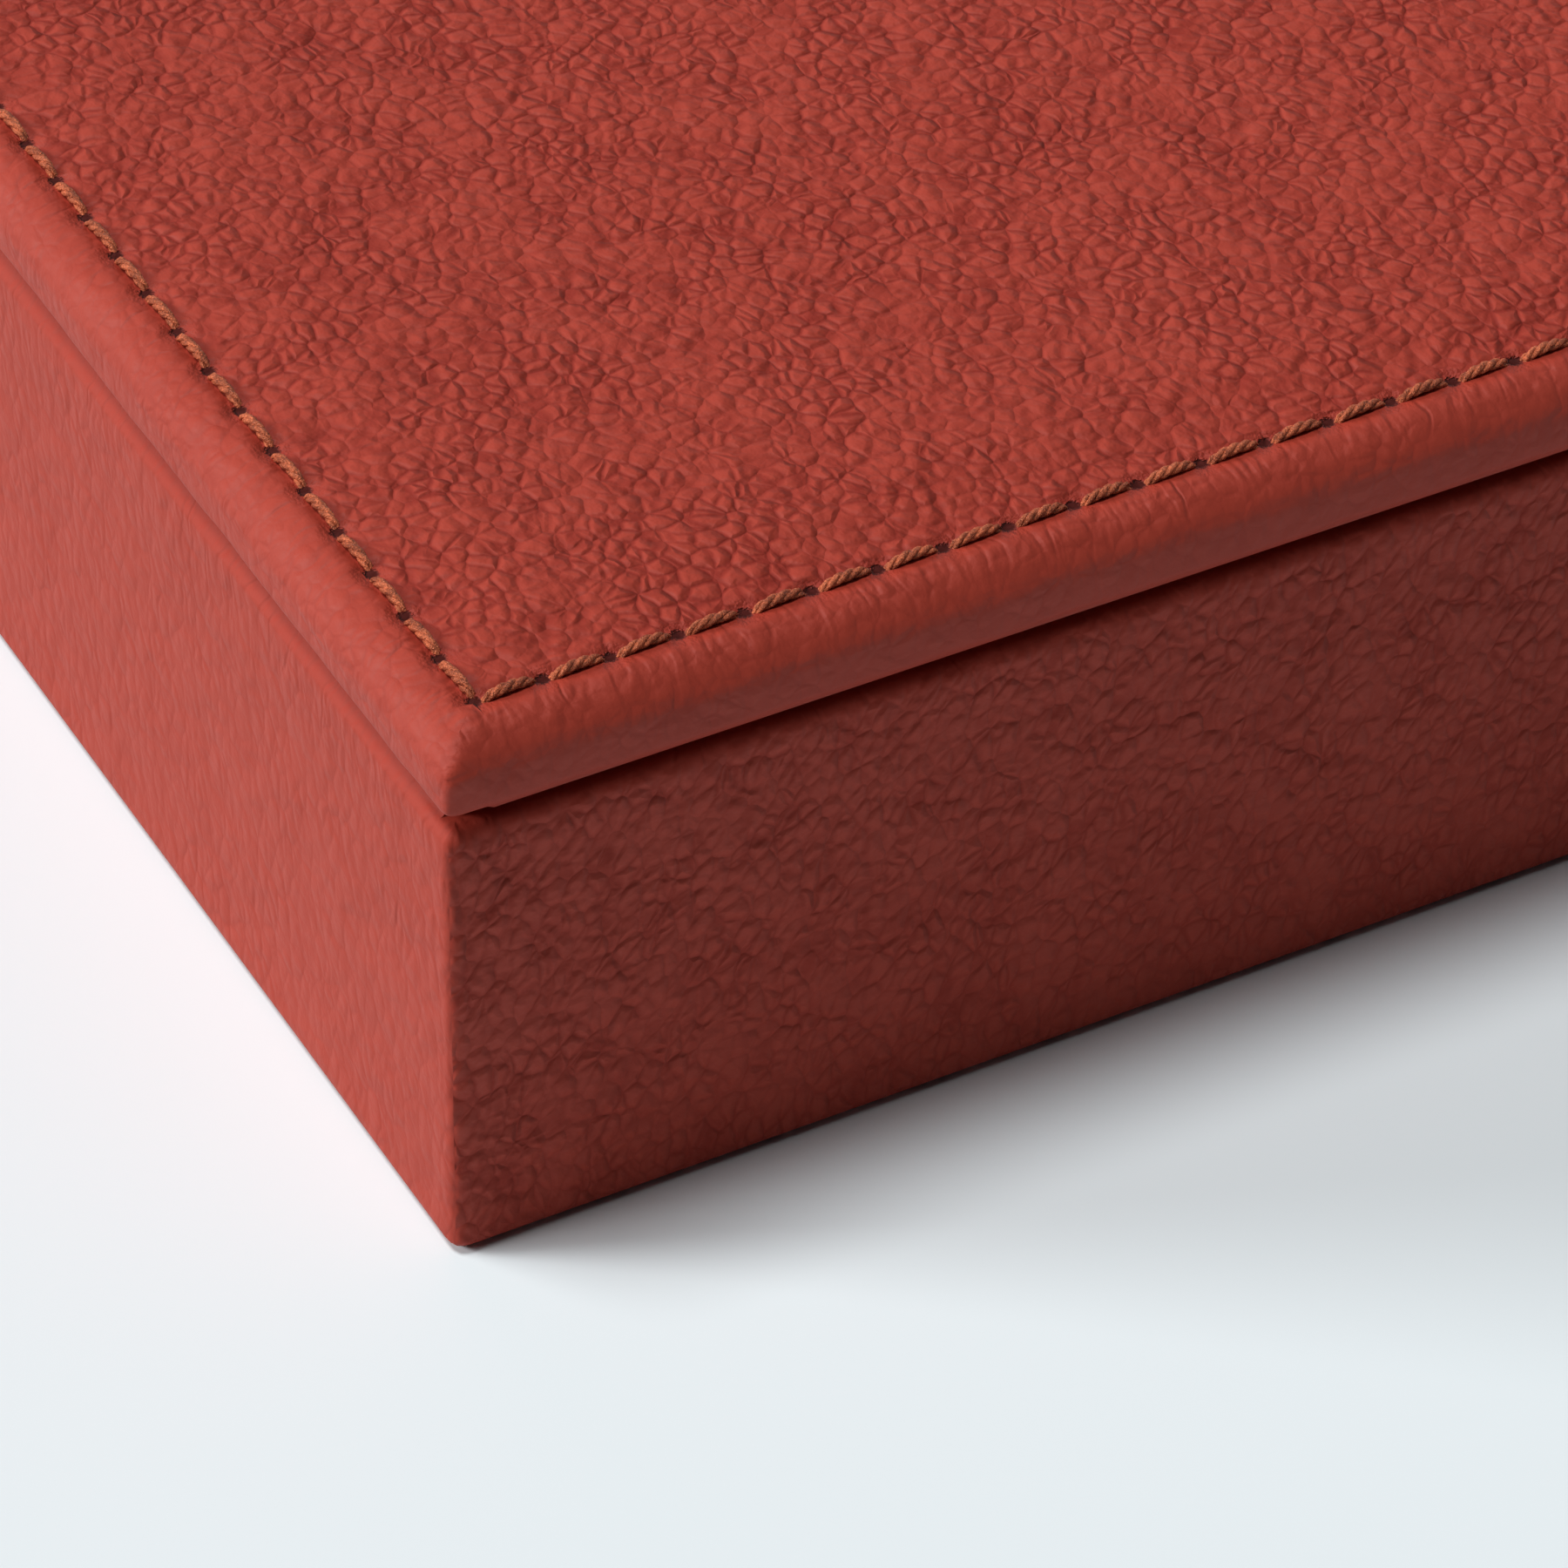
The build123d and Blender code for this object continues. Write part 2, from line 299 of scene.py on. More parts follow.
# The pebbles lie along the lid, slant on the end walls and are drawn up on the long ones
def pebblePlace(place, y, zone):
    drift = place.warp(0.2, 1.6).warp(0.8, 0.45)
    flat = drift.along(32, 1.05, 0.92, 1.0)
    drawnUp = drift.stretch(1.05, 1.05, 0.55)
    rise = y.node("CombineXYZ", {}, {"Z": y * 0.25})
    slanted = drift.stretch(1.1, 1.1, 0.8)
    slanted = slanted.node("VectorMath", {"operation": "ADD"}, {0: slanted, 1: rise})
    return drawnUp.swap(slanted, zone["atEnd"]).swap(flat, zone["onLid"])


# Rounded pebbles with soft creases of uneven depth: their height, and where painted shade darkens
# them, in the creases and folds and down in the gap and the hinge crease
def hideGrain(place, spot, fine, zone):
    near = spot.cells(leather["pebble"], "F1")
    dome = 1 - near * near * 1.2
    fromCrease = spot.cells(leather["pebble"])
    crease = 1 - fromCrease.ramp(0.0, 0.34)
    creaseLine = 1 - fromCrease.ramp(0.02, 0.17)
    fold = 1 - spot.cells(leather["fold"]).ramp(0.0, 0.17)
    fold = fold * place.cloud(0.2, 1.0).ramp(0.38, 0.6)
    uneven = place.cloud(0.3, 2.0).ramp(0.3, 0.68) * 0.9 + 0.3
    lumps = place.cloud(0.75, 1.0, 0.5)
    small = place.cloud(2.3, 1.0, 0.5)
    onWall = (zone["atEnd"] * leather["extraEndGrain"] + leather["sideGrain"]) * (1 - zone["onLid"])
    share = zone["field"] + onWall + zone["rim"] * leather["rimGrain"]
    share = share * (1 - (1 - zone["calm"]) * (1 - zone["onTop"]))
    height = dome * leather["pebbleDepth"] - crease * uneven * leather["creaseDepth"]
    height = (height - fold * leather["foldDepth"]) * share
    softer = small * leather["smallDepth"] + lumps * leather["lumpDepth"]
    height = height + softer * (share + 0.2) + fine * leather["poreDepth"]
    # painted shade: the crease lines and folds are darkened, and so are the gap under the lid and
    # the crease at the hinge
    paintedShade = (creaseLine * uneven).most(fold * 0.8) * share
    return height, paintedShade.most((1 - zone["calm"]) * 0.5)


# Puckers that run across the rolled edges and by the stitches, and pulls below the seam
def hidePuckers(place, zone):
    acrossLong = place.warp(0.4, 1.2).stretch(0.8, 0.2, 0.2).cloud(1.0, 1.0, 0.5)
    acrossEnd = place.warp(0.4, 1.2).stretch(0.2, 0.8, 0.2).cloud(1.0, 1.0, 0.5)
    pucker = acrossLong + zone["atEnd"] * (acrossEnd - acrossLong)
    ridge = abs(pucker - 0.5).ramp(0.0, 0.14)
    byStitch = zone["onTop"] * (1 - abs(zone["inset"] - 2.6).ramp(0.3, 2.0))
    share = zone["rim"] * leather["rimPucker"] + byStitch * leather["stitchPucker"]
    return ridge * (share + zone["belowSeam"] * leather["seamPucker"])


# The groove that the stitches draw, the pull round each needle hole, and the hole
def stitchMarks(x, y, fine, zone):
    pastEnd = 8.0  # how fast the groove ends past the last stitch
    offX = abs(zone["edgeY"] - stitching["inset"] * mm)
    offX = offX + (abs(x) - stitchX * mm).most(0.0) * pastEnd
    offY = abs(zone["edgeX"] - stitching["inset"] * mm)
    offY = offY + (abs(y) - stitchY * mm).most(0.0) * pastEnd
    alongX = (stitchX * mm - abs(x)) / (pitchX * mm)
    alongY = (stitchY * mm - abs(y)) / (pitchY * mm)
    nextX = alongX.math("PINGPONG", alongX, 0.5) * (pitchX * mm)
    nextY = alongY.math("PINGPONG", alongY, 0.5) * (pitchY * mm)
    away = (nextX * nextX * 0.75 + offX * offX).least(nextY * nextY * 0.75 + offY * offY)
    torn = (fine - 0.5) * 0.35
    away = away.math("SQRT", away) + torn
    groove = (1 - offX.least(offY).ramp(0.1, 1.2)) * zone["onTop"]
    pull = (1 - away.ramp(0.2, 1.2)) * zone["onTop"]
    hole = (1 - away.ramp(leather["holeRadius"], leather["holeEdge"])) * zone["onTop"]
    return groove, pull, hole


def outerLeather():
    material, place = startMaterial("rust_pebbled_leather")
    x, y, z = axes(place)
    zone = hideZones(x, y, z)
    fine = place.cloud(5.5, 1.0, 0.5)
    height, paintedShade = hideGrain(place, pebblePlace(place, y, zone), fine, zone)
    groove, pull, hole = stitchMarks(x, y, fine, zone)
    height = height + hidePuckers(place, zone) + place.cloud(0.25, 1.0) * leather["swellDepth"]
    height = height - groove * leather["grooveDepth"] - pull * leather["pullDepth"]
    height = height - hole * leather["holeDepth"]

    # painted shade darkens the creases, the folds, the gap and the hinge crease, more on the lid;
    # rubbed a little lighter on the rolled edges
    mottle = place.cloud(0.09, 3.0).ramp(0.3, 0.7)
    colour = (paintedShade * (zone["onLid"] * 0.3 + 0.42)).tint(leather["face"], leather["shadeColour"])
    rubbed = zone["rim"] * 0.04 + mottle * 0.12 + fine * 0.08
    colour = rubbed.tint(colour, leather["rubbed"])
    # painted shade in the groove that the stitches draw
    colour = (groove * 0.2).tint(colour, leather["shadeColour"])
    # the needle holes are painted near black: painted shade in each hole
    colour = hole.tint(colour, leather["hole"])
    roughness = leather["roughness"] + paintedShade * 0.1 + fine * 0.08 - zone["rim"] * 0.05
    settings = {"Specular IOR Level": leather["shine"]}
    endMaterial(place, colour, roughness.most(hole), height, settings)
    return material


def plainLeather():
    material, place = startMaterial("hinge_lining_leather")
    crease = place.warp(0.9, 0.5).cells(1.5).ramp(0.0, 0.3)
    fine = place.cloud(5.0, 3.0)
    colour = (crease * 0.7 + fine * 0.3).tint((0.16, 0.022, 0.014, 1), (0.26, 0.04, 0.026, 1))
    height = crease * 0.04 + fine * 0.02
    endMaterial(place, colour, fine * 0.15 + 0.5, height, {"Specular IOR Level": 0.4})
    return material


def suede(name, light, dark):
    material, place = startMaterial(name)
    nap = place.cloud(0.055, 3.0, 0.6).ramp(0.32, 0.68)
    fibre = place.cloud(7.0, 4.0, 0.7)
    fleck = place.cells(5.0, "F1").ramp(0.0, 0.7)
    colour = (nap * 0.55 + fibre * 0.45).tint(dark, light)
    height = fibre * 0.09 + fleck * 0.03
    settings = {"Specular IOR Level": 0.15, "Sheen Weight": 0.35, "Sheen Roughness": 0.5}
    endMaterial(place, colour, fibre * 0.08 + 0.86, height, settings)
    return material


def pressedBoard(name, light, dark):
    material, place = startMaterial(name)
    chip = place.stretch(0.6, 0.6, 2.5).cloud(1.8, 4.0, 0.6)
    colour = chip.tint(dark, light)
    endMaterial(place, colour, chip * 0.1 + 0.75, chip * 0.05, {"Specular IOR Level": 0.3})
    return material


def threadFinish():
    material, place = startMaterial("copper_thread")
    fibre = place.cloud(8.0, 3.0, 0.6).ramp(0.3, 0.7)
    tone = place.cloud(1.1, 1.0).ramp(0.35, 0.65)
    colour = (fibre * 0.6 + tone * 0.4).tint((0.13, 0.017, 0.007, 1), (0.7, 0.165, 0.07, 1))
    settings = {"Metallic": 0.12, "Specular Tint": (1.0, 0.62, 0.42, 1)}
    endMaterial(place, colour, fibre * 0.15 + 0.28, fibre * 0.05, settings)
    return material


hideFinish = outerLeather()
liningLeather = plainLeather()
suedeFinish = suede("tan_suede", (0.36, 0.205, 0.14, 1), (0.23, 0.125, 0.085, 1))
microfibre = suede("base_microfibre_cloth", (0.05, 0.033, 0.026, 1), (0.03, 0.02, 0.016, 1))
boardFinish = pressedBoard("fibreboard", (0.42, 0.29, 0.17, 1), (0.28, 0.18, 0.1, 1))
cardFinish = pressedBoard("grey_card", (0.34, 0.31, 0.27, 1), (0.26, 0.235, 0.2, 1))
foamFinish = pressedBoard("foam_sheet", (0.72, 0.69, 0.6, 1), (0.6, 0.57, 0.5, 1))
thread = threadFinish()
print("materials ready")


# The hide over the lid: a flat sheet, folded round the board and turned under.
# Along the back it carries on through the crease and down the back wall.

lidHide = {
    "step": 0.0016,
    "edgeStep": 0.0004,
    "rollWidth": 0.0031,  # the soft roll from the top down to the side
    "rollDrop": 0.0025,
    "rollSteps": 9,
    "wrapSteps": 8,
    "groove": 0.00012,  # how deep the stitches draw the hide down
    "grooveWidth": 0.0005,
    "puffStart": 0.0042,  # the padding lifts the top from here to there, in from the edge
    "puffEnd": 0.0098,
    "cornerSquareness": 3.0,
    "underStep": 0.004,
    "creaseSlack": 0.0001,
    "waves": 230.0,  # slow swells, per metre, and the finer ones on them
    "ripples": 520.0,
    "keepIn": 1.6,  # holds every swell below the true surface
    "turnIn": 0.012,
    "backWallEnd": 0.022,  # height where it meets the hide of the walls
    "creaseDip": 0.00068,
    "creaseEnd": 0.003,
    "swell": 0.00003,
    "edgeSwell": 0.00009,
}
flatX = halfLength - cornerRadius
flatY = halfWidth - cornerRadius


def spread(length, step):
    count = max(1, round(length / step))
    return [length * (i + 1) / count for i in range(count)]


# Rows of the hide past its flat field, as (reach, height), and how many lead to the hinge
def rollRows():
    across, drop = lidHide["rollWidth"], lidHide["rollDrop"]
    start = math.asin(1 - cornerRadius / across)
    rows = []
    rollSteps, wrapSteps = lidHide["rollSteps"], lidHide["wrapSteps"]
    for i in range(1, rollSteps + 1):
        turn = start + (math.pi / 2 - start) * i / rollSteps
        reach = cornerRadius - across * (1 - math.sin(turn))
        rows.append((reach, borderTop - drop * (1 - math.cos(turn))))
    low = seamHeight + wrapRadius
    sideTop = borderTop - drop
    rows += [(cornerRadius, sideTop - s) for s in spread(sideTop - low, lidHide["edgeStep"])]
    toHinge = len(rows)
    for i in range(1, wrapSteps + 1):
        turn = math.pi / 2 * i / wrapSteps
        reach = cornerRadius - wrapRadius * (1 - math.cos(turn))
        rows.append((reach, low - wrapRadius * math.sin(turn)))
    under = spread(lidHide["turnIn"] - wrapRadius, lidHide["underStep"])
    rows += [(cornerRadius - wrapRadius - s, seamHeight) for s in under]
    return rows, toHinge


# Height of the top of the lid, inset from its edge, where it isn't past the field yet
def fieldHeight(inset):
    across, drop = lidHide["rollWidth"], lidHide["rollDrop"]
    short = max(across - inset, 0.0) / across
    height = borderTop - drop * (1 - math.sqrt(1 - short * short))
    fromStitch = (inset - stitching["inset"]) / lidHide["grooveWidth"]
    height -= lidHide["groove"] * math.exp(-fromStitch * fromStitch)
    return height + crown * smoothStep(inset, lidHide["puffStart"], lidHide["puffEnd"])


# A corner drawn tight over the board: squarer than an arc, more so at full reach
def cornerReach(reach, angle):
    power = 2 + lidHide["cornerSquareness"] * max(reach, 0) / cornerRadius
    total = abs(math.cos(angle)) ** power + abs(math.sin(angle)) ** power
    return reach * total ** (-1 / power)


# Where a point of the sheet lies in plan, reach past the field (negative turns in)
def planPoint(x, y, reach):
    overX, overY = abs(x) - flatX, abs(y) - flatY
    if overX > 0 and overY > 0:
        share = min(overX, overY) / max(overX, overY) * math.pi / 4
        angle = share if overX >= overY else math.pi / 2 - share
        if reach > 0:
            full = cornerReach(reach, angle)
            px, py = flatX + full * math.cos(angle), flatY + full * math.sin(angle)
        else:
            px, py = flatX + reach, flatY + reach
    elif overX > 0:
        px, py = flatX + reach, abs(y) * (flatY + min(reach, 0)) / flatY
    else:
        px, py = abs(x) * (flatX + min(reach, 0)) / flatX, flatY + reach
    return math.copysign(px, x), math.copysign(py, y)


def smoothStep(value, low, high):
    share = min(max((value - low) / (high - low), 0.0), 1.0)
    return share * share * (3 - 2 * share)


# Slow swells in the hide, the same wherever two pieces of it meet
def hideSwell(place, outward, amount):
    wave = noise.noise(place * lidHide["waves"]) + 0.5 * noise.noise(place * lidHide["ripples"])
    return place + outward * ((wave - lidHide["keepIn"]) * amount)


def stopList(flat, rowCount):
    fineWidth = 9 * lidHide["edgeStep"]
    coarse = flat - fineWidth
    half = spread(coarse, lidHide["step"])
    half += [coarse + s for s in spread(fineWidth, lidHide["edgeStep"])]
    half += [flat + lidHide["edgeStep"] * (i + 1) for i in range(rowCount)]
    return [-s for s in reversed(half)] + [0.0] + half


# A grid whose rows stand at the given stops, as {vertex: (column, row)}
def gridFromStops(shape, stopsX, stopsY):
    made = bmesh.ops.create_grid(
        shape, x_segments=len(stopsX) - 1, y_segments=len(stopsY) - 1, size=0.5
    )
    spots = {}
    for v in made["verts"]:
        column = round((v.co.x + 0.5) * (len(stopsX) - 1))
        row = round((v.co.y + 0.5) * (len(stopsY) - 1))
        spots[v] = (column, row)
        v.co = (stopsX[column], stopsY[row], 0)
    return spots


# The fold at the back as (y, z) points, from the lid's edge down to the back wall
def creasePath():
    creaseRadius = (seamHeight - rimHeight) / 2 + lidHide["creaseSlack"]
    rise = gapMiddle - (rimHeight - wrapRadius)
    reach = math.sqrt((wrapRadius + creaseRadius) ** 2 - rise ** 2)
    centreY = halfWidth - wrapRadius
    wrap = math.asin(rise / (wrapRadius + creaseRadius))
    path = []
    steps = lidHide["wrapSteps"]
    for i in range(steps + 1):  # round the lower edge of the lid
        turn = wrap * i / steps
        path.append((centreY + wrapRadius * math.cos(turn),
                     seamHeight + wrapRadius - wrapRadius * math.sin(turn)))
    for i in range(1, steps):  # round the crease
        turn = wrap - 2 * wrap * i / steps
        path.append((centreY + reach - creaseRadius * math.cos(turn),
                     gapMiddle + creaseRadius * math.sin(turn)))
    for i in range(steps + 1):  # round the upper edge of the wall
        turn = wrap * (steps - i) / steps
        path.append((centreY + wrapRadius * math.cos(turn),
                     rimHeight - wrapRadius + wrapRadius * math.sin(turn)))
    wallEnd = lidHide["backWallEnd"]
    top = rimHeight - wrapRadius
    path += [(halfWidth, top - s) for s in spread(top - wallEnd, 0.001)]
    return path


# Away from its ends the hide bridges the fold in a softer, shallower dip
def creasePoint(x, y, z):
    fromMiddle = (z - gapMiddle) / ((seamHeight - rimHeight) / 2 + wrapRadius)
    dip = 0.0
    if abs(fromMiddle) < 1:
        dip = lidHide["creaseDip"] * math.cos(math.pi / 2 * fromMiddle) ** 3
    soft = 1 - smoothStep(abs(x), flatX - lidHide["creaseEnd"], flatX)
    return x, y + soft * (halfWidth - dip - y), z


def makeLidHide():
    rows, toHinge = rollRows()
    stopsX, stopsY = stopList(flatX, len(rows)), stopList(flatY, len(rows))
    shape = bmesh.new()
    gridFromStops(shape, stopsX, stopsY)
    hingeLine = flatY + lidHide["edgeStep"] * toHinge
    atHinge = [
        face for face in shape.faces
        if abs(face.calc_center_median().x) < flatX and face.calc_center_median().y > hingeLine
    ]
    bmesh.ops.delete(shape, geom=atHinge, context="FACES")
    for v in shape.verts:
        x, y = v.co.x, v.co.y
        past = max(abs(x) - flatX, abs(y) - flatY)
        row = round(past / lidHide["edgeStep"]) - 1
        if row < 0:
            v.co.z = fieldHeight(min(halfLength - abs(x), halfWidth - abs(y)))
            continue
        reach, height = rows[row]
        px, py = planPoint(x, y, reach)
        v.co = (px, py, height)
    path = creasePath()
    columns = [s for s in stopsX if abs(s) <= flatX + 1e-7]
    spots = gridFromStops(shape, columns, list(range(len(path))))
    for v, (column, row) in spots.items():
        y, z = path[row]
        v.co = creasePoint(columns[column], y, z)
    bmesh.ops.remove_doubles(shape, verts=shape.verts, dist=1e-6)
    bmesh.ops.recalc_face_normals(shape, faces=shape.faces)
    topFace = max(shape.faces, key=lambda face: face.calc_center_median().z)
    if topFace.normal.z < 0:
        bmesh.ops.reverse_faces(shape, faces=shape.faces)
    shape.normal_update()
    for v in shape.verts:
        hidden = v.co.z < seamHeight + 0.0002 and v.co.y < halfWidth - 0.003
        if not hidden:
            edge = 1 - smoothStep(v.co.z, borderTop - 0.001, borderTop)
            amount = lidHide["swell"] + edge * (lidHide["edgeSwell"] - lidHide["swell"])
            v.co = hideSwell(v.co.copy(), v.normal, amount)
    piece = newPiece("lid_hide", shape)
    thicken(piece, hideThickness * 0.97)
    finishPiece(piece, hideFinish)
    creaseRims(piece)
    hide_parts("lid_leather", "hinge_leather")
    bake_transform(piece)
    print("lid hide:", len(piece.data.polygons), "faces")
    return piece


# The hide round the walls, as one strip closed into a loop

wallHide = {
    "step": 0.0013,
    "baseTurnIn": halfLength - coverEdge,
    "rimWidth": halfWidth - backLiningBack - 0.0001,
    "baseRows": (0.008, 0.004),  # how far in the rows under the base lie
    "innerStep": 0.004,
    "arcSteps": 7,
    "cornerSteps": 8,
}


# (drawn in from the outer face, height) for each row, from under the base upwards
def wallRows():
    r = wrapRadius
    rim = wallHide["rimWidth"]
    steps = wallHide["arcSteps"]
    angles = [math.pi / 2 * i / steps for i in range(steps + 1)]
    turns = [(math.sin(angle), math.cos(angle)) for angle in angles]
    rows = [(wallHide["baseTurnIn"], 0.0)] + [(drawnIn, 0.0) for drawnIn in wallHide["baseRows"]]
    rows += [(r - r * sine, r - r * cosine) for sine, cosine in turns]
    wallEnd = lidHide["backWallEnd"]
    rows += [(0.0, r + s) for s in spread(wallEnd - r, wallHide["step"])]
    rows += [(0.0, wallEnd + s) for s in spread(rimHeight - r - wallEnd, wallHide["step"])]
    rows += [(r - r * cosine, rimHeight - r + r * sine) for sine, cosine in turns[1:]]
    rows += [(r + s, rimHeight) for s in spread(rim - 2 * r, wallHide["step"])]
    rows += [(rim - r + r * sine, rimHeight - r + r * cosine) for sine, cosine in turns[1:]]
    inner = rimHeight - r - baseTop
    rows += [(rim, rimHeight - r - s) for s in spread(inner, wallHide["innerStep"])]
    return rows


# Points round the plan at the corner centres: (side, distance along it, outward angle)
def wallColumns():
    columns = []
    for side in range(4):
        along = flatX if side % 2 == 0 else flatY
        count = round(2 * along / wallHide["step"])
        outward = math.radians(90 * side - 90)
        for i in range(count):
            s = -along + 2 * along * i / count
            columns.append((side, s, outward))
        steps = wallHide["cornerSteps"]
        for i in range(steps):
            columns.append((side, along, outward + math.pi / 2 * i / steps))
    return columns + columns[:1]


def wallPoint(column, drawnIn, height):
    side, s, angle = column
    along, across = (flatX, flatY) if side % 2 == 0 else (flatY, flatX)
    reach = cornerRadius - drawnIn
    s = s * (along + min(reach, 0)) / along
    local = Vector((s, -(across + min(reach, 0)), 0))
    turned = Matrix.Rotation(math.radians(90 * side), 3, "Z") @ local
    square = math.radians(90 * side - 90)
    out = Vector((math.cos(angle), math.sin(angle), 0))
    out *= cornerReach(max(reach, 0), angle - square)
    return turned + out + Vector((0, 0, height))


def makeWallHide():
    rows, columns = wallRows(), wallColumns()
    shape = bmesh.new()
    spots = gridFromStops(shape, list(range(len(columns))), list(range(len(rows))))
    seamAt = lidHide["backWallEnd"] - 1e-7
    endRow = min(i for i, row in enumerate(rows) if row[0] == 0 and row[1] >= seamAt)
    gone = []  # the back wall above the seam belongs to the lid's hide
    for face in shape.faces:
        column = min(spots[v][0] for v in face.verts)
        row = min(spots[v][1] for v in face.verts)
        side, s, angle = columns[column]
        if side == 2 and row >= endRow and s < flatX - 1e-9:
            gone.append(face)
    for v, (column, row) in spots.items():
        v.co = wallPoint(columns[column], rows[row][0], rows[row][1])
    bmesh.ops.delete(shape, geom=gone, context="FACES")
    bmesh.ops.remove_doubles(shape, verts=shape.verts, dist=1e-6)
    bmesh.ops.dissolve_degenerate(shape, edges=shape.edges, dist=1e-7)
    shape.normal_update()
    outer = max(shape.faces, key=lambda face: -face.calc_center_median().y)
    if outer.normal.y > 0:
        bmesh.ops.reverse_faces(shape, faces=shape.faces)
        shape.normal_update()
    for v in shape.verts:
        outside = max(abs(v.co.x) - halfLength, abs(v.co.y) - halfWidth) > -0.0022
        if outside and v.co.z > 0.0006:
            lift = smoothStep(v.co.z, 0.0006, 0.003)
            v.co = hideSwell(v.co.copy(), v.normal, lidHide["edgeSwell"] * lift)
    piece = newPiece("wall_hide", shape)
    thicken(piece, hideThickness * 0.97)
    finishPiece(piece, hideFinish)
    creaseRims(piece)
    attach(piece, "root")
    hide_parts("wall_leather")
    print("wall hide:", len(piece.data.polygons), "faces")
    return piece


# The thin strip inside the hinge: down the back wall, over its top, folded, and on the lid

innerStrip = {
    "thickness": 0.0006,
    "lidEnd": 0.012,
    "wallStep": 0.003,
    "rimStep": 0.0006,
    "lidStep": 0.002,
    "columns": 120,
    "wrapSteps": 6,
    "foldSteps": 8,
}


def makeInnerStrip():
    thickness = innerStrip["thickness"]
    mouthX = halfLength - wallHide["rimWidth"]
    coreTop = rimHeight - hideThickness
    lidCore = seamHeight + hideThickness
    wallFace = backWallFace - thickness
    r = wrapRadius - hideThickness + thickness
    foldRadius = (lidCore - coreTop) / 2
    foldY = stripBack - foldRadius
    foldX = flatX - 0.0002
    lidX = halfLength - innerStrip["lidEnd"] - 0.0003
    upWall = [0.0] + spread(coreTop + thickness - r - baseTop, innerStrip["wallStep"])
    rows = [(wallFace, baseTop + s, mouthX) for s in upWall]
    for i in range(1, innerStrip["wrapSteps"] + 1):
        turn = math.pi / 2 * i / innerStrip["wrapSteps"]
        height = coreTop + thickness - r + r * math.sin(turn)
        rows.append((wallFace + r - r * math.cos(turn), height, mouthX))
    for s in spread(foldY - wallFace - r, innerStrip["rimStep"]):
        rows.append((wallFace + r + s, coreTop + thickness, foldX))
    inner = foldRadius - thickness
    for i in range(1, innerStrip["foldSteps"] + 1):
        turn = -math.pi / 2 + math.pi * i / innerStrip["foldSteps"]
        height = (coreTop + lidCore) / 2 + inner * math.sin(turn)
        rows.append((foldY + inner * math.cos(turn), height, foldX))
    lidEnd = halfWidth - innerStrip["lidEnd"]
    for s in spread(foldY - lidEnd, innerStrip["lidStep"]):
        rows.append((foldY - s, lidCore - thickness, lidX))
    count = innerStrip["columns"]
    shape = bmesh.new()
    spots = gridFromStops(shape, list(range(count + 1)), list(range(len(rows))))
    for v, (column, row) in spots.items():
        y, z, half = rows[row]
        v.co = (half * (2 * column / count - 1), y, z)
    shape.normal_update()
    first = min(shape.faces, key=lambda face: face.calc_center_median().z)
    if first.normal.y > 0:
        bmesh.ops.reverse_faces(shape, faces=shape.faces)
    piece = newPiece("hinge_strip", shape)
    thicken(piece, thickness * 0.9)
    finishPiece(piece, liningLeather)
    creaseRims(piece)
    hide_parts("inner_hinge")
    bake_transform(piece)
    print("hinge strip:", len(piece.data.polygons), "faces")
    return piece


# The padded floor of the tray

floorPad = {
    "step": 0.008,
    "edge": 0.0022,
    "crown": 0.0004,
    "crownWidth": 0.02,
    "unevenness": 0.00012,
    "dents": 60.0,  # per metre
    "fill": 0.9,
}


def makeFloorPad():
    halfX, halfY = padHigh.x, padHigh.y
    low, high = padLow.z, padHigh.z
    shape = bmesh.new()
    bmesh.ops.create_cube(shape, size=1.0)
    for v in shape.verts:
        v.co = (v.co.x * 2 * halfX, v.co.y * 2 * halfY, (low + high) / 2 + v.co.z * (high - low))
    topEdges = [e for e in shape.edges if all(v.co.z > low + 0.001 for v in e.verts)]
    bmesh.ops.bevel(
        shape, geom=topEdges, offset=floorPad["edge"], offset_type="OFFSET", segments=6,
        profile=0.5, affect="EDGES", material=-1,
    )
    for axis, half in ((Vector((1, 0, 0)), halfX), (Vector((0, 1, 0)), halfY)):
        count = int(2 * half / floorPad["step"])
        for i in range(1, count):
            spot = axis * (-half + 2 * half * i / count)
            geom = shape.verts[:] + shape.edges[:] + shape.faces[:]
            bmesh.ops.bisect_plane(shape, geom=geom, plane_co=spot, plane_no=axis, dist=1e-6)
    for v in shape.verts:
        inset = min(halfX - abs(v.co.x), halfY - abs(v.co.y))
        if v.co.z > low + 0.002:
            v.co.z += floorPad["crown"] * (smoothStep(inset, 0.0, floorPad["crownWidth"]) - 1)
            v.co.z += floorPad["unevenness"] * noise.noise(v.co * floorPad["dents"])
    piece = newPiece("floor_pad", shape)
    finishPiece(piece, suedeFinish)
    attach(piece, "root")
    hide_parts("floor_lining", "floor_foam")
    print("floor pad:", len(piece.data.polygons), "faces")
    return piece


# The topstitch: plied thread, up out of one needle hole and down into the next

# Centre line of one stitch, as points
def stitchPath(start, end, outward):
    points = []
    steps = stitching["steps"]
    gap = stitching["endGap"]
    for i in range(steps + 1):
        t = i / steps
        spot = start.lerp(end, gap + (1 - 2 * gap) * t)
        rise = math.sin(math.pi * t) ** stitching["plumpness"] if 0 < t < 1 else 0.0
        side = stitching["slant"] * (0.5 - t)
        height = borderTop - stitching["sink"] + (stitching["sink"] + stitching["lift"]) * rise
        points.append(Vector((spot.x, spot.y, 0)) + outward * side + Vector((0, 0, height)))
    return points


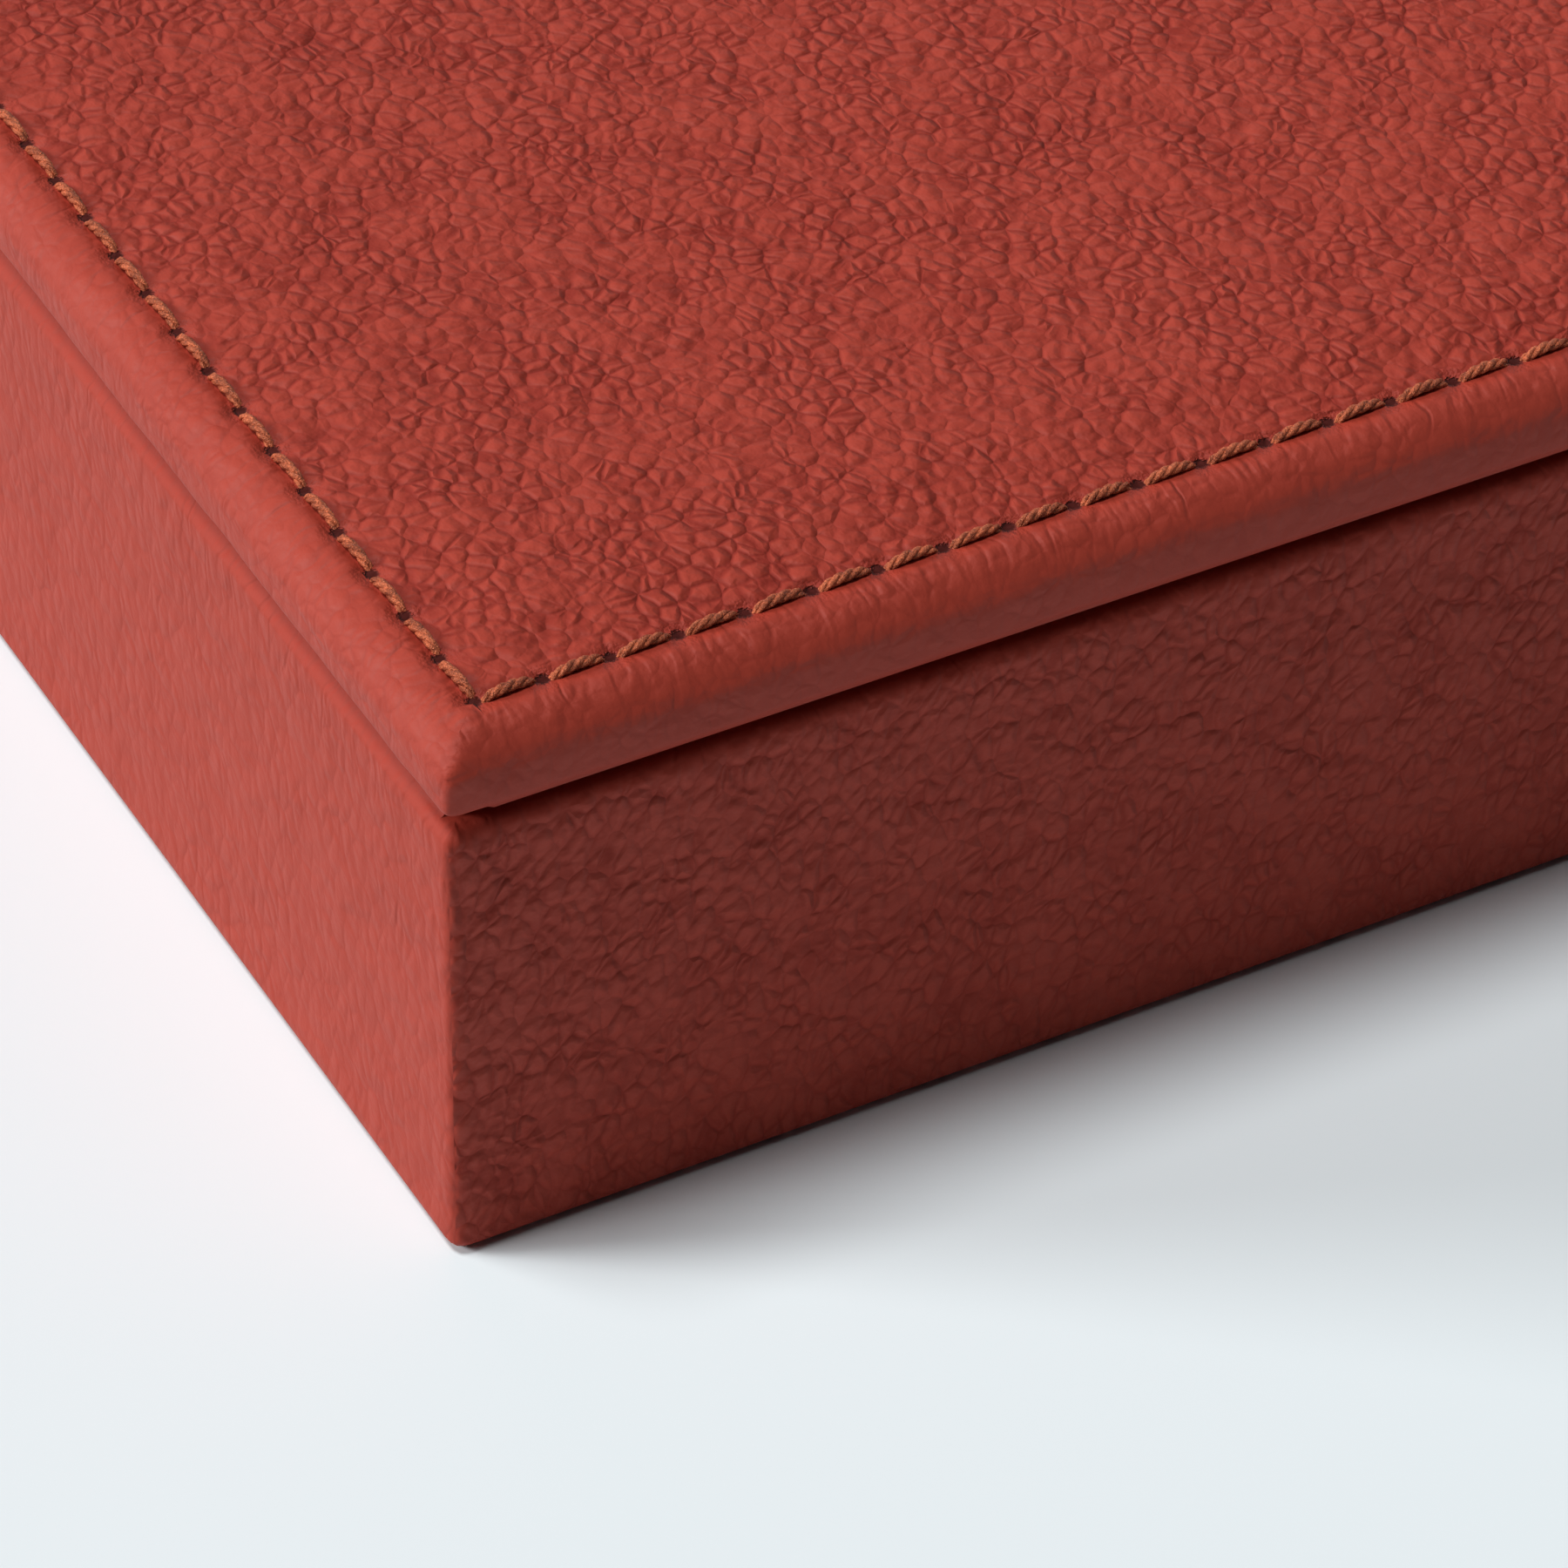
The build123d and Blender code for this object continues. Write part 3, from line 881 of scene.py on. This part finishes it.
def addPly(curve, points, phase, turns):
    spline = curve.splines.new("POLY")
    spline.points.add(len(points) - 1)
    forward = (points[-1] - points[0]).normalized()
    side = forward.cross(Vector((0, 0, 1))).normalized()
    up = side.cross(forward)
    for i, point in enumerate(points):
        t = i / (len(points) - 1)
        angle = phase + 2 * math.pi * turns * t
        spot = point + (side * math.cos(angle) + up * math.sin(angle)) * stitching["twistRadius"]
        spline.points[i].co = (*spot, 1)
        thickness = stitching["middleThickness"] * math.sin(math.pi * t)
        spline.points[i].radius = stitching["endThickness"] + thickness


def makeStitching():
    curve = bpy.data.curves.new("thread", "CURVE")
    curve.dimensions = "3D"
    curve.bevel_depth = stitching["threadRadius"]
    curve.bevel_resolution = 1
    corners = [
        Vector((-stitchX, -stitchY, 0)), Vector((stitchX, -stitchY, 0)),
        Vector((stitchX, stitchY, 0)), Vector((-stitchX, stitchY, 0)),
    ]
    total = 0
    for side in range(4):
        start, end = corners[side], corners[(side + 1) % 4]
        count = countX if side % 2 == 0 else countY
        outward = (end - start).normalized().cross(Vector((0, 0, 1)))
        for i in range(count):
            a, b = start.lerp(end, i / count), start.lerp(end, (i + 1) / count)
            points = stitchPath(a, b, outward)
            wander = noise.noise(Vector((total * 0.73, 0.2, 0.4)))
            for ply in range(stitching["plies"]):
                phase = 2 * math.pi * ply / stitching["plies"] + wander * 2
                addPly(curve, points, phase, stitching["turns"] + wander * 0.3)
            total += 1
    laid = bpy.data.objects.new("thread", curve)
    bpy.context.scene.collection.objects.link(laid)
    bpy.context.view_layer.update()
    ready = laid.evaluated_get(bpy.context.evaluated_depsgraph_get())
    mesh = bpy.data.meshes.new_from_object(ready)
    bpy.data.objects.remove(laid)
    piece = bpy.data.objects.new("lid_topstitch", mesh)
    bpy.context.scene.collection.objects.link(piece)
    finishPiece(piece, thread)
    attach(piece, "lid")
    print("topstitch:", total, "stitches,", len(mesh.polygons), "faces")
    return piece


makeLidHide()
makeWallHide()
makeInnerStrip()
makeFloorPad()
makeStitching()

nodeFinish = {
    suedeFinish: ["front_lining", "back_lining", "left_lining", "right_lining",
                  "lid_panel_lining", "floor_lining"],
    microfibre: ["base_cover"],
    boardFinish: ["front_wall", "right_wall", "back_wall", "left_wall", "base_board", "lid_board"],
    cardFinish: ["floor_card", "lid_infill", "lid_panel_card"],
    foamFinish: ["floor_foam", "lid_padding"],
    hideFinish: ["wall_leather", "lid_leather", "hinge_leather"],
    liningLeather: ["inner_hinge"],
}
for finish, names in nodeFinish.items():
    for name in names:
        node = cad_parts[name]
        node.data.materials.clear()
        node.data.materials.append(finish)
print("pieces ready")


# Floor, light and camera

studio = {
    "floor": (0.778, 0.845, 0.872, 1),
    "floorSize": 12.0,
    "sky": (0.95, 0.97, 1.0, 1),
    "skyStrength": 0.012,
}

lamps = {  # side: degrees from +Y towards +X; height: degrees above the floor; sizes in metres
    "low": {"power": 440.0, "size": 2.4, "away": 8.0, "height": 22.0, "side": 29.0},
    "high": {"power": 425.0, "size": 2.6, "away": 8.0, "height": 72.0, "side": 29.0},
    "back": {"power": 124.0, "size": 2.8, "away": 8.0, "height": 40.0, "side": 0.0},
}

view = {
    "focalPixels": 9169.86,
    "pictureSize": 1800,
    "turn": 28.882,
    "pitch": 39.764,
    "roll": 0.813,
    "cornerPixel": (520.727, 1444.9),  # foot of the upright corner nearest the camera
    "cornerDistance": 0.43136,
}


def makeFloor():
    shape = bmesh.new()
    bmesh.ops.create_grid(shape, x_segments=1, y_segments=1, size=studio["floorSize"] / 2)
    floor = newPiece("floor", shape)
    material = bpy.data.materials.new("pale_floor")
    material.use_nodes = True
    material.node_tree.nodes.clear()
    sheet = Wire(material.node_tree)
    shader = sheet.node("BsdfDiffuse", {}, {"Color": studio["floor"]})
    sheet.node("OutputMaterial", {}, {"Surface": shader})
    finishPiece(floor, material, False)


def makeSky():
    world = bpy.data.worlds.new("studio")
    bpy.context.scene.world = world
    world.use_nodes = True
    world.node_tree.nodes.clear()
    sheet = Wire(world.node_tree)
    kinds = ("Is Camera Ray", "Is Glossy Ray", "Is Transmission Ray")
    camera, glossy, through = (sheet.node("LightPath", {}, {}, kind) for kind in kinds)
    path = camera.most(glossy).most(through)
    dim = {"Color": studio["sky"], "Strength": studio["skyStrength"]}
    light = sheet.node("Background", {}, dim)
    seen = sheet.node("Background", {}, {"Color": studio["floor"], "Strength": 1.0})
    both = sheet.node("MixShader", {}, {0: path, 1: light, 2: seen})
    sheet.node("OutputWorld", {}, {"Surface": both})


def makeLamp(name):
    made = lamps[name]
    lamp = bpy.data.lights.new(name, "AREA")
    lamp.shape = "DISK"
    lamp.size = made["size"]
    lamp.energy = made["power"]
    stand = bpy.data.objects.new(name, lamp)
    bpy.context.scene.collection.objects.link(stand)
    height, side = math.radians(made["height"]), math.radians(made["side"])
    level = math.cos(height)
    away = Vector((math.sin(side) * level, math.cos(side) * level, math.sin(height)))
    target = Vector((-halfLength * 0.6, halfWidth * 0.6, 0.03))
    stand.location = target + away * made["away"]
    stand.rotation_euler = away.to_track_quat("Z", "Y").to_euler()


def makeCamera():
    turn, pitch, roll = (math.radians(view[k]) for k in ("turn", "pitch", "roll"))
    right = Vector((-math.sin(turn), -math.cos(turn), 0))
    level = Vector((math.cos(turn), -math.sin(turn), 0))
    down = -(Vector((0, 0, 1)) * math.cos(pitch) + level * math.sin(pitch))
    forward = level * math.cos(pitch) - Vector((0, 0, 1)) * math.sin(pitch)
    cameraRight = right * math.cos(roll) - down * math.sin(roll)
    cameraDown = right * math.sin(roll) + down * math.cos(roll)
    corner = Vector((-halfLength, halfWidth, 0))
    middle = view["pictureSize"] / 2
    offX = (view["cornerPixel"][0] - middle) / view["focalPixels"]
    offY = (view["cornerPixel"][1] - middle) / view["focalPixels"]
    distance = view["cornerDistance"]
    place = corner - distance * (cameraRight * offX + cameraDown * offY + forward)
    lens = bpy.data.cameras.new("camera")
    lens.sensor_width = 36.0
    lens.lens = view["focalPixels"] / view["pictureSize"] * lens.sensor_width
    lens.clip_start = 0.01
    camera = bpy.data.objects.new("camera", lens)
    bpy.context.scene.collection.objects.link(camera)
    turned = Matrix((cameraRight, -cameraDown, -forward)).transposed()
    camera.matrix_world = Matrix.Translation(place) @ turned.to_4x4()
    bpy.context.scene.camera = camera


makeFloor()
makeSky()
for lampName in lamps:
    makeLamp(lampName)
makeCamera()
bpy.context.scene.view_settings.view_transform = "Standard"
print("studio ready")
